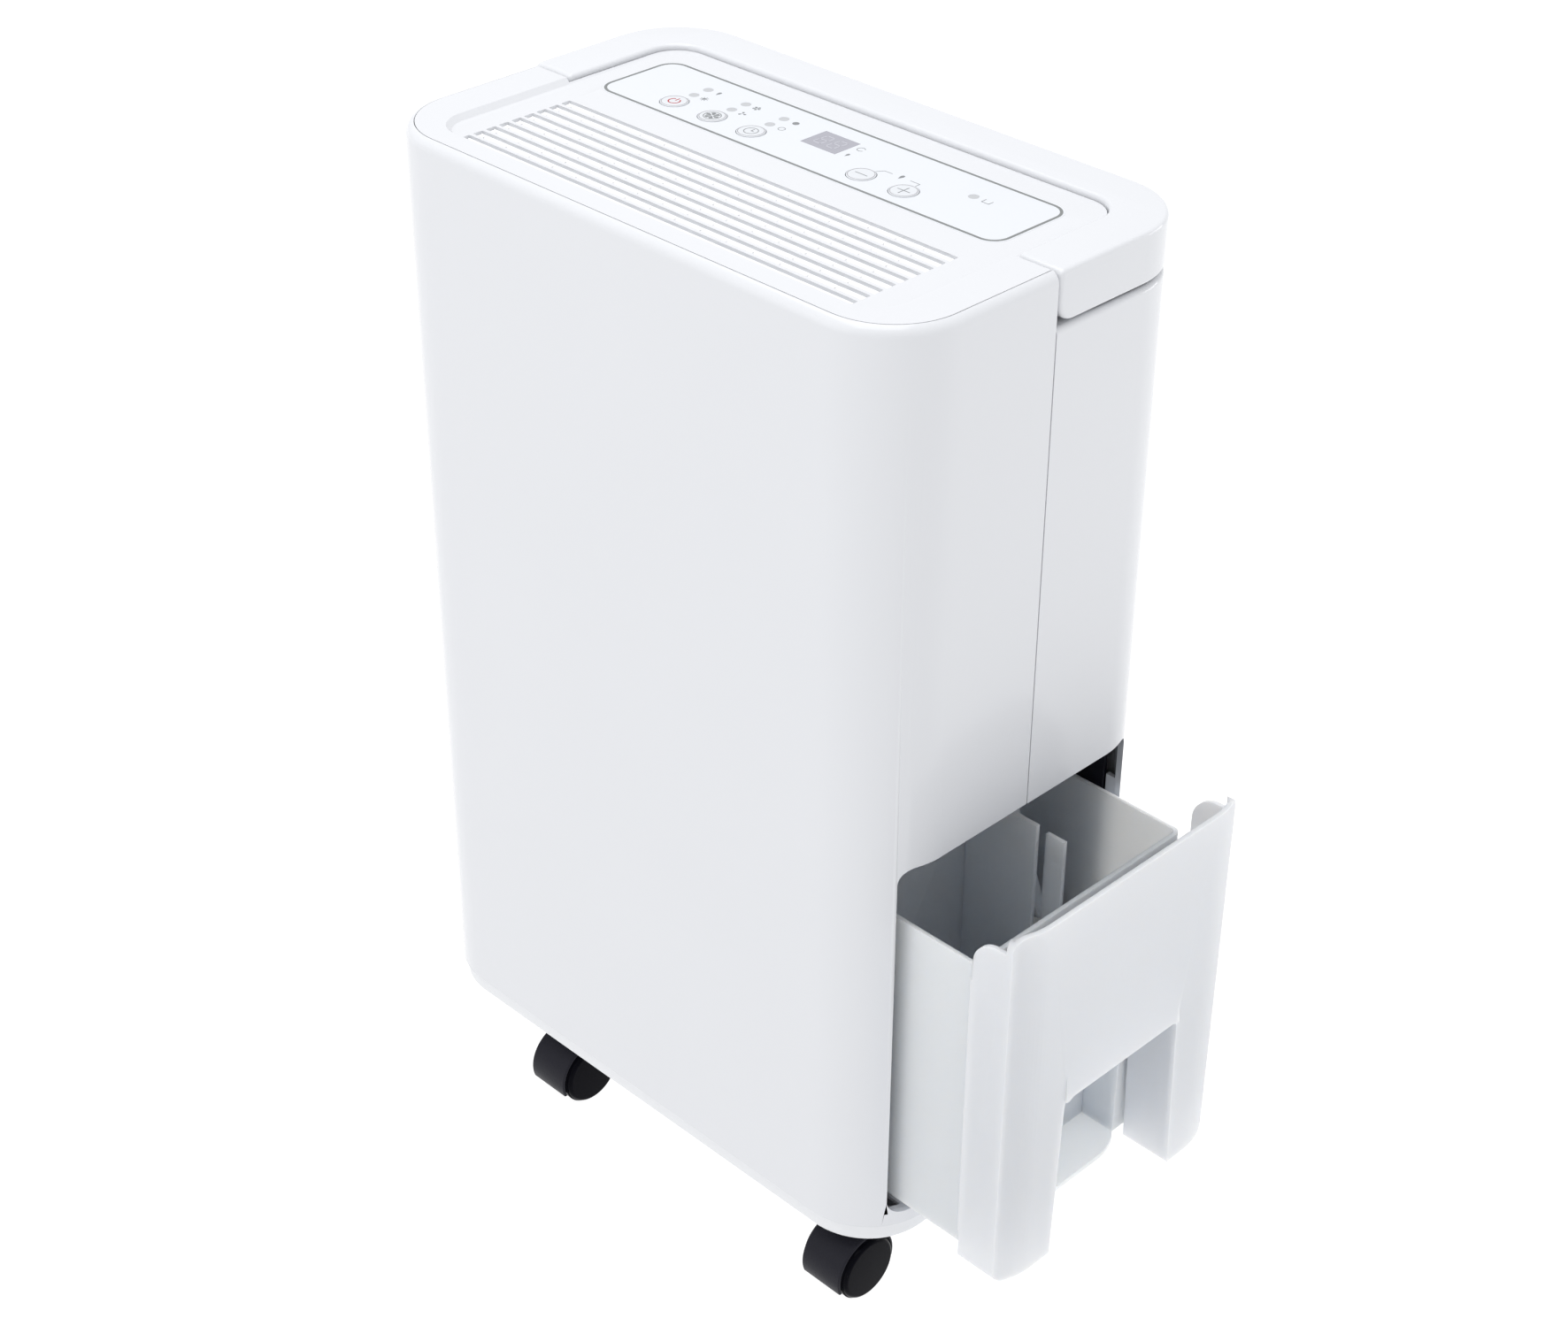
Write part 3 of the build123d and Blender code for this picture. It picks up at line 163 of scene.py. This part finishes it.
def moulded(name, color, roughness, grain=0.0, grain_size=900.0, waves=0.0, coat=0.0, shine=0.5):
    """Moulded plastic: colour and gloss that vary a little, fine grain and long waves."""
    material, shader, add = new_material(name, color, roughness)
    tree = material.node_tree
    where = add("ShaderNodeTexCoord").outputs["Object"]
    cloud = add("ShaderNodeTexNoise", {"Scale": 14.0, "Detail": 3.0}, Vector=where)
    tint = add("ShaderNodeMix", Factor=cloud.outputs["Fac"])
    tint.data_type = "RGBA"
    tint.inputs[6].default_value = (*[c * 0.985 for c in color], 1)
    tint.inputs[7].default_value = (*color, 1)
    tree.links.new(tint.outputs[2], shader.inputs["Base Color"])
    spread = {"To Min": roughness * 0.88, "To Max": roughness * 1.12}
    gloss = add("ShaderNodeMapRange", spread, Value=cloud.outputs["Fac"])
    tree.links.new(gloss.outputs["Result"], shader.inputs["Roughness"])
    fine = add("ShaderNodeTexNoise", {"Scale": grain_size, "Detail": 2.0}, Vector=where)
    relief = {"Strength": grain, "Distance": GRAIN_DEPTH}
    grain_bump = add("ShaderNodeBump", relief, Height=fine.outputs["Fac"])
    long = add("ShaderNodeTexNoise", {"Scale": 9.0, "Detail": 1.0}, Vector=where)
    relief = {"Strength": waves, "Distance": WAVE_DEPTH}
    under = grain_bump.outputs["Normal"]
    wave_bump = add("ShaderNodeBump", relief, Height=long.outputs["Fac"], Normal=under)
    tree.links.new(wave_bump.outputs["Normal"], shader.inputs["Normal"])
    shader.inputs["Coat Weight"].default_value = coat
    shader.inputs["Specular IOR Level"].default_value = shine
    shader.inputs["Coat Roughness"].default_value = 0.06
    return material


def translucent(name, color):
    """Milky polypropylene that lets light through."""
    material = moulded(name, color, 0.42, grain=0.05, grain_size=500.0, waves=0.05)
    shader = material.node_tree.nodes["Principled BSDF"]
    shader.inputs["Transmission Weight"].default_value = 0.12
    shader.inputs["Subsurface Weight"].default_value = 1.0
    shader.inputs["Subsurface Radius"].default_value = (1.0, 0.94, 0.86)
    shader.inputs["Subsurface Scale"].default_value = 0.008
    shader.inputs["IOR"].default_value = 1.2
    return material


def metal(name, color, roughness, brushed=0.0):
    """Bare metal with faint brushing."""
    material, shader, add = new_material(name, color, roughness)
    tree = material.node_tree
    where = add("ShaderNodeTexCoord").outputs["Object"]
    stretch = add("ShaderNodeMapping", {"Scale": (30, 900, 900)}, Vector=where)
    noise = {"Scale": 1.0, "Detail": 4.0}
    streaks = add("ShaderNodeTexNoise", noise, Vector=stretch.outputs["Vector"])
    spread = {"To Min": roughness * 0.8, "To Max": roughness * 1.3}
    gloss = add("ShaderNodeMapRange", spread, Value=streaks.outputs["Fac"])
    tree.links.new(gloss.outputs["Result"], shader.inputs["Roughness"])
    relief = {"Strength": brushed, "Distance": BRUSH_DEPTH}
    bump = add("ShaderNodeBump", relief, Height=streaks.outputs["Fac"])
    tree.links.new(bump.outputs["Normal"], shader.inputs["Normal"])
    shader.inputs["Metallic"].default_value = 1.0
    return material


def net(name, color):
    """Fine woven net."""
    material, shader, add = new_material(name, color, 0.7)
    tree = material.node_tree
    where = add("ShaderNodeTexCoord").outputs["Object"]
    threads = []
    for direction in ("X", "Z"):
        wave = add("ShaderNodeTexWave", {"Scale": 260.0}, Vector=where)
        wave.bands_direction = direction
        threads.append(wave.outputs["Fac"])
    weave = add("ShaderNodeMath")
    weave.operation = "MAXIMUM"
    tree.links.new(threads[0], weave.inputs[0])
    tree.links.new(threads[1], weave.inputs[1])
    shade = add("ShaderNodeMix", Factor=weave.outputs["Value"])
    shade.data_type = "RGBA"
    shade.inputs[6].default_value = (*[c * 0.15 for c in color], 1)
    shade.inputs[7].default_value = (*color, 1)
    tree.links.new(shade.outputs[2], shader.inputs["Base Color"])
    relief = {"Strength": 0.6, "Distance": NET_DEPTH}
    bump = add("ShaderNodeBump", relief, Height=weave.outputs["Value"])
    tree.links.new(bump.outputs["Normal"], shader.inputs["Normal"])
    return material


WHITE = (0.695, 0.705, 0.73)
materials = {
    "shell_white": moulded("shell_white", WHITE, 0.16, grain=0.02, waves=0.05, shine=0.32),
    # vanes much paler than the shell: painted light that brightens the shade inside the outlet
    # slots
    "vane_painted_light_white": moulded("vane_painted_light_white", (0.93, 0.935, 0.945), 0.3, grain=0.02, shine=0.3),
    "base_white": moulded("base_white", (0.75, 0.76, 0.78), 0.4, grain=0.08),
    "film": moulded("film", (0.70, 0.72, 0.755), 0.3, grain=0.05, grain_size=1500.0),
    "button_white": moulded("button_white", (0.67, 0.69, 0.72), 0.28, grain=0.03),
    "lens_grey": moulded("lens_grey", (0.48, 0.49, 0.51), 0.3),
    "smoked_window": moulded("smoked_window", (0.35, 0.35, 0.40), 0.12, coat=0.3),
    "black_plastic": moulded(
        "black_plastic", (0.013, 0.013, 0.019), 0.36, grain=0.4, grain_size=1300.0, shine=0.12
    ),
    "wheel_black": moulded("wheel_black", (0.002, 0.002, 0.004), 0.12, grain=0.02, shine=0.035),
    "tank_clear": translucent("tank_clear", (0.885, 0.935, 1.0)),
    "tank_cover": translucent("tank_cover", (0.765, 0.78, 0.81)),
    "foam": moulded("foam", (0.80, 0.80, 0.77), 0.9, grain=0.8, grain_size=2500.0),
    "steel": metal("steel", (0.60, 0.61, 0.63), 0.32, 0.2),
    "compressor_paint": moulded("compressor_paint", (0.02, 0.02, 0.022), 0.3, grain=0.2, waves=0.2),
    "copper": metal("copper", (0.80, 0.45, 0.30), 0.28, 0.1),
    "fins": metal("fins", (0.80, 0.81, 0.82), 0.3, 0.2),
    "rubber": moulded("rubber", (0.02, 0.02, 0.02), 0.8, grain=0.4),
    "fan_plastic": moulded("fan_plastic", (0.78, 0.80, 0.83), 0.45, grain=0.1),
    "electronics": moulded("electronics", (0.70, 0.70, 0.66), 0.5, grain=0.2),
    "circuit_board": moulded("circuit_board", (0.02, 0.14, 0.05), 0.35, grain=0.1),
    "filter_cloth": net("filter_cloth", (0.10, 0.11, 0.13)),
    "drain_nozzle": moulded("drain_nozzle", (0.80, 0.81, 0.83), 0.35, grain=0.1),
    "print_grey": moulded("print_grey", (0.22, 0.23, 0.24), 0.5),
    "print_red": moulded("print_red", (0.42, 0.03, 0.04), 0.5),
    "print_pale": moulded("print_pale", (0.33, 0.32, 0.34), 0.5),
    "print_grey_line": moulded("print_grey_line", (0.20, 0.21, 0.21), 0.45),
    "digit_grey": moulded("digit_grey", (0.46, 0.46, 0.51), 0.4),
}


# ================= CAD pieces with finished edges =================

WELD = 2e-6                  # points nearer than this are one point
FLAT = radians(0.05)         # faces that bend less than this are joined
CREASE = radians(32)         # an edge that bends more than this stays sharp and is softened
EDGE_SEGMENTS = 3
VANE_END = 0.75 * MM         # points this near the ends of the outlet grid are moved
VANE_REACH = 1.5 * MM        # and this is how far

# width of the softened edges of each visible moulding, in millimetres
EDGES = {
    "front_shell": 0.2, "rear_shell": 0.2, "top_cover": 0.15, "outlet_grid": 0.15,
    "base_pan": 0.4, "handle": 0.15, "tank_body": 0.5, "tank_front": 0.6, "tank_bay": 0.5,
    "filter_frame": 0.3, "drain_spout": 0.4, "drain_plug": 0.3, "cord_inlet": 0.3,
    "casing_screws": 0.15, "display_window": 0.15, "led_lenses": 0.15, "float_arm": 0.3,
}
for corner in ("front_left", "front_right", "rear_left", "rear_right"):
    EDGES[f"caster_hood_{corner}"] = 0.4
    EDGES[f"caster_wheels_{corner}"] = 0.3


def give_material(obj, slot):
    obj.data.materials.clear()
    obj.data.materials.append(materials[slot])


def finished(node, edge):
    """Replaces a CAD node by the same shape with softened edges and smooth curved faces."""
    mesh = nodes[node].data.copy()
    piece = bpy.data.objects.new(node + "_finished", mesh)
    scene.collection.objects.link(piece)
    bm = bmesh.new()
    bm.from_mesh(mesh)
    bmesh.ops.remove_doubles(bm, verts=bm.verts, dist=WELD)
    bmesh.ops.dissolve_limit(bm, angle_limit=FLAT, verts=bm.verts, edges=bm.edges)
    bm.to_mesh(mesh)
    bm.free()
    for face in mesh.polygons:
        face.use_smooth = True
    mesh.set_sharp_from_angle(angle=CREASE)
    bevel = piece.modifiers.new("edges", "BEVEL")
    bevel.width = edge * MM
    bevel.segments = EDGE_SEGMENTS
    bevel.limit_method = "ANGLE"
    bevel.angle_limit = CREASE
    bevel.harden_normals = True
    bevel.miter_outer = "MITER_ARC"
    apply_modifiers(piece)
    give_material(piece, slot_of[node])
    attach(piece, body_of[node])
    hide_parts(node)


def apply_modifiers(piece):
    """Bakes a piece's modifiers into its mesh."""
    depsgraph = bpy.context.evaluated_depsgraph_get()
    mesh = bpy.data.meshes.new_from_object(piece.evaluated_get(depsgraph))
    piece.modifiers.clear()
    piece.data = mesh


for node in nodes:
    if node in EDGES:
        finished(node, EDGES[node])
    else:
        give_material(nodes[node], slot_of[node])


def reach_slot_ends():
    """Draws the vanes out to the ends of the outlet slots, in a paler white that paints light into
    the shaded slots.
    """
    grid = bpy.data.objects["outlet_grid_finished"]
    low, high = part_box("outlet_grid")
    middle = (low.x + high.x) / 2
    half = (high.x - low.x) / 2
    for vertex in grid.data.vertices:
        side = vertex.co.x - middle
        if abs(side) > half - VANE_END:
            vertex.co.x += VANE_REACH if side > 0 else -VANE_REACH
    # the paler vane colour is painted light standing in for the shade in the slots
    grid.data.materials[0] = materials["vane_painted_light_white"]


reach_slot_ends()


# ================= printing on the control panel =================

PRINT_T = 0.05 * MM                    # thickness of the ink
film_low, film_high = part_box("control_membrane")
PANEL_AT = Vector(((film_low.x + film_high.x) / 2, (film_low.y + film_high.y) / 2))
LED_ROWS = (0.95 * MM, 9.05 * MM)      # rows of light guides, from the panel's middle
LED_SIGNS = 6.6 * MM                   # from a key's middle to the signs by its lights

BORDER_INSET = 1.3 * MM
BORDER_RADIUS = 7.7 * MM
BORDER_WIDTH = 1.25 * MM

KEY_RING = 5.45 * MM
KEY_HAIR = 0.28 * MM
FAN_RING = 3.7 * MM
TIMER_RING = 3.0 * MM
POWER_ARC = 2.5 * MM
POWER_STROKE = 0.55 * MM
RING_STROKE = 0.35 * MM
SIGN_STROKE = 0.4 * MM

ICON_HAIR = 0.3 * MM
BRACKET_HAIR = 0.25 * MM
BRACKET_LIFT = 9.2 * MM                # from the keys' middles up to the bracket between them

DIGIT_HALF_W = 2.1 * MM
DIGIT_HALF_H = 3.9 * MM
DIGIT_PLACE = 3.6 * MM                 # from the window's middle
DIGIT_GAP = 0.45 * MM
DIGIT_SLANT = 0.12
DIGIT_STROKE = 0.75 * MM
# ends of a digit's seven segments, in half widths and half heights
SEGMENTS = (
    (-1, 1, 1, 1), (-1, 0, 1, 0), (-1, -1, 1, -1), (-1, 0, -1, 1),
    (1, 0, 1, 1), (-1, -1, -1, 0), (1, -1, 1, 0),
)


def mm(x, y):
    """A step on the panel, given in millimetres."""
    return Vector((x * MM, y * MM))


def arc(center, radius, start, end, count=24):
    """Points along an arc, angles in degrees."""
    step = (end - start) / count
    angles = [radians(start + i * step) for i in range(count + 1)]
    return [Vector((center[0] + radius * cos(t), center[1] + radius * sin(t))) for t in angles]


def circle(center, radius, count=32):
    """Points round a circle, the first not repeated."""
    return arc(center, radius, 0, 360, count)[:-1]


class Ink:
    """Collects flat printed shapes on one level, as one thin closed mesh."""

    def __init__(self, name, slot, body, level):
        self.name, self.slot, self.body, self.level = name, slot, body, level
        self.bm = bmesh.new()

    def slab(self, loop):
        """Adds a closed slab over a convex or simple loop of points."""
        low = [self.bm.verts.new((p[0], p[1], self.level)) for p in loop]
        high = [self.bm.verts.new((p[0], p[1], self.level + PRINT_T)) for p in loop]
        self.bm.faces.new(low[::-1])
        self.bm.faces.new(high)
        for i, point in enumerate(low):
            after = (i + 1) % len(low)
            self.bm.faces.new((point, low[after], high[after], high[i]))

    def line(self, points, width, closed=False):
        """Adds a line of even width through the points."""
        points = [Vector(p[:2]) for p in points]
        count = len(points)
        sides = []
        for i, point in enumerate(points):
            before = points[i - 1] if i or closed else point
            after = points[(i + 1) % count] if i < count - 1 or closed else point
            first = point == before
            along_in = ((after - point) if first else (point - before)).normalized()
            along_out = (after - point).normalized() if after != point else along_in
            heading = along_in + along_out
            across = Vector((-heading.y, heading.x)).normalized()
            reach = width / 2 / max(0.4, across.dot(Vector((-along_in.y, along_in.x))))
            sides.append((point + across * reach, point - across * reach))
        levels = (self.level, self.level + PRINT_T)
        rings = [
            [self.bm.verts.new((p.x, p.y, z)) for z in levels for p in pair] for pair in sides
        ]
        for i in range(count if closed else count - 1):
            a, b = rings[i], rings[(i + 1) % count]
            for j, k in ((0, 1), (1, 3), (3, 2), (2, 0)):
                self.bm.faces.new((a[j], b[j], b[k], a[k]))
        if not closed:
            self.bm.faces.new((rings[0][0], rings[0][1], rings[0][3], rings[0][2]))
            self.bm.faces.new((rings[-1][2], rings[-1][3], rings[-1][1], rings[-1][0]))

    def finish(self):
        """Makes the piece and says what it rides on."""
        bmesh.ops.recalc_face_normals(self.bm, faces=self.bm.faces)
        mesh = bpy.data.meshes.new(self.name)
        self.bm.to_mesh(mesh)
        self.bm.free()
        piece = bpy.data.objects.new(self.name, mesh)
        scene.collection.objects.link(piece)
        mesh.materials.append(materials[self.slot])
        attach(piece, self.body)


def drop(center, size):
    """A water drop's outline."""
    return [
        Vector((center[0] + size * 0.62 * sin(t) * sin(t / 2) ** 1.5, center[1] - size * cos(t)))
        for t in (2 * pi * i / 28 for i in range(28))
    ]


def blades(center, inner, outer, count):
    """Outlines of a little fan's blades."""
    profile = (
        (inner, -0.3), (outer * 0.8, -0.42), (outer, -0.1), (outer * 0.92, 0.36), (inner, 0.3)
    )
    for i in range(count):
        heading = 2 * pi * i / count
        yield [
            Vector((center[0] + r * cos(heading + a), center[1] + r * sin(heading + a)))
            for r, a in profile
        ]


def add_border():
    """The rounded grey line round the panel."""
    ink = Ink("panel_border", "print_grey_line", "casing", film_high.z)
    reach_x = (film_high.x - film_low.x) / 2 - BORDER_INSET - BORDER_RADIUS
    reach_y = (film_high.y - film_low.y) / 2 - BORDER_INSET - BORDER_RADIUS
    loop = []
    for k, (sx, sy) in enumerate(((1, 1), (-1, 1), (-1, -1), (1, -1))):
        middle = (PANEL_AT.x + sx * reach_x, PANEL_AT.y + sy * reach_y)
        loop += arc(middle, BORDER_RADIUS, 90 * k, 90 * k + 90, 12)
    ink.line(loop, BORDER_WIDTH, closed=True)
    ink.finish()


def key_middle(name):
    """The middle of a key, and the height of its top."""
    low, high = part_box(f"{name}_button")
    return (low + high) / 2, high.z


def add_key_prints():
    """A ring and a sign on each key."""
    for name in ("power", "fan", "timer", "minus", "plus"):
        middle, top = key_middle(name)
        at = middle.xy
        ring = Ink(f"{name}_key_ring", "print_pale", f"{name}_button", top)
        ring.line(circle(at, KEY_RING, 40), KEY_HAIR, closed=True)
        ring.finish()
        color = "print_red" if name == "power" else "print_grey"
        icon = Ink(f"{name}_key_icon", color, f"{name}_button", top)
        if name == "power":
            icon.line(arc(at, POWER_ARC, 120, 420), POWER_STROKE)
            icon.line([at + mm(0, 0.6), at + mm(0, 3.1)], POWER_STROKE)
        elif name == "fan":
            icon.line(circle(at, FAN_RING), RING_STROKE, closed=True)
            for loop in blades(at, 0.6 * MM, 3.3 * MM, 6):
                icon.slab(loop)
        elif name == "timer":
            icon.line(circle(at, TIMER_RING), RING_STROKE, closed=True)
            icon.line([at + mm(0, 2.0), at, at + mm(1.5, 0)], RING_STROKE)
        else:
            icon.line([at - mm(3.2, 0), at + mm(3.2, 0)], SIGN_STROKE)
            if name == "plus":
                icon.line([at - mm(0, 3.2), at - mm(0, 0.2)], SIGN_STROKE)
                icon.line([at + mm(0, 0.2), at + mm(0, 3.2)], SIGN_STROKE)
        icon.finish()


def add_small_icons():
    """Little signs by the indicator lights and the display, and between the last two keys."""
    ink = Ink("panel_icons", "print_grey", "casing", film_high.z)
    spots = {}
    for name in ("power", "fan", "timer"):
        column = key_middle(name)[0].x + LED_SIGNS
        spots[name] = [Vector((column, PANEL_AT.y + row)) for row in LED_ROWS]
    for k in range(4):
        reach = Vector((cos(pi * k / 4), sin(pi * k / 4))) * 1.9 * MM
        ink.line([spots["power"][0] - reach, spots["power"][0] + reach], ICON_HAIR)
    ink.slab(drop(spots["power"][1], 1.7 * MM))
    for count, spot in ((3, spots["fan"][0]), (5, spots["fan"][1])):
        for loop in blades(spot, 0.3 * MM, 1.9 * MM, count):
            ink.slab(loop)
    ink.line(circle(spots["timer"][0], 1.5 * MM, 20), ICON_HAIR, closed=True)
    ink.slab(circle(spots["timer"][1], 1.5 * MM, 20))
    window_low, window_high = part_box("display_window")
    beside = window_high.x + 4.0 * MM
    ink.line(arc((beside, window_high.y - 4.0 * MM), 1.7 * MM, 30, 330, 20), ICON_HAIR)
    ink.slab(drop((beside, window_low.y + 3.0 * MM), 1.5 * MM))
    minus, plus = key_middle("minus")[0].xy, key_middle("plus")[0].xy
    lift = Vector((0, BRACKET_LIFT))
    left = [minus + mm(2.0, 6.4), minus + mm(4.0, 0) + lift, minus + mm(8.0, 0) + lift]
    ink.line(left, BRACKET_HAIR)
    ink.line([plus + mm(0, 6.6), plus + lift, plus + mm(-5.0, 0) + lift], BRACKET_HAIR)
    ink.slab(drop((minus + plus) / 2 + mm(1.4, 0) + lift, 1.9 * MM))
    trough = Vector((film_high.x, PANEL_AT.y)) + mm(-29.0, 5.6)
    corners = ((-1.8, 1.4), (-1.8, -1.4), (1.8, -1.4), (1.8, 1.4))
    ink.line([trough + mm(*corner) for corner in corners], ICON_HAIR)
    ink.finish()


def add_digits():
    """Two unlit seven-segment digits behind the display window."""
    low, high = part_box("display_window")
    middle = (low + high) / 2
    ink = Ink("display_digits", "digit_grey", "casing", high.z)
    for side in (-1, 1):
        center = middle.xy + Vector((side * DIGIT_PLACE, 0))
        for x0, y0, x1, y1 in SEGMENTS:
            start = Vector((x0 * DIGIT_HALF_W, y0 * DIGIT_HALF_H))
            end = Vector((x1 * DIGIT_HALF_W, y1 * DIGIT_HALF_H))
            inward = (end - start).normalized() * DIGIT_GAP
            points = (start + inward, end - inward)
            slanted = [center + Vector((p.x + DIGIT_SLANT * p.y, p.y)) for p in points]
            ink.line(slanted, DIGIT_STROKE)
    ink.finish()


add_border()
add_key_prints()
add_small_icons()
add_digits()
add_camera()
add_studio()
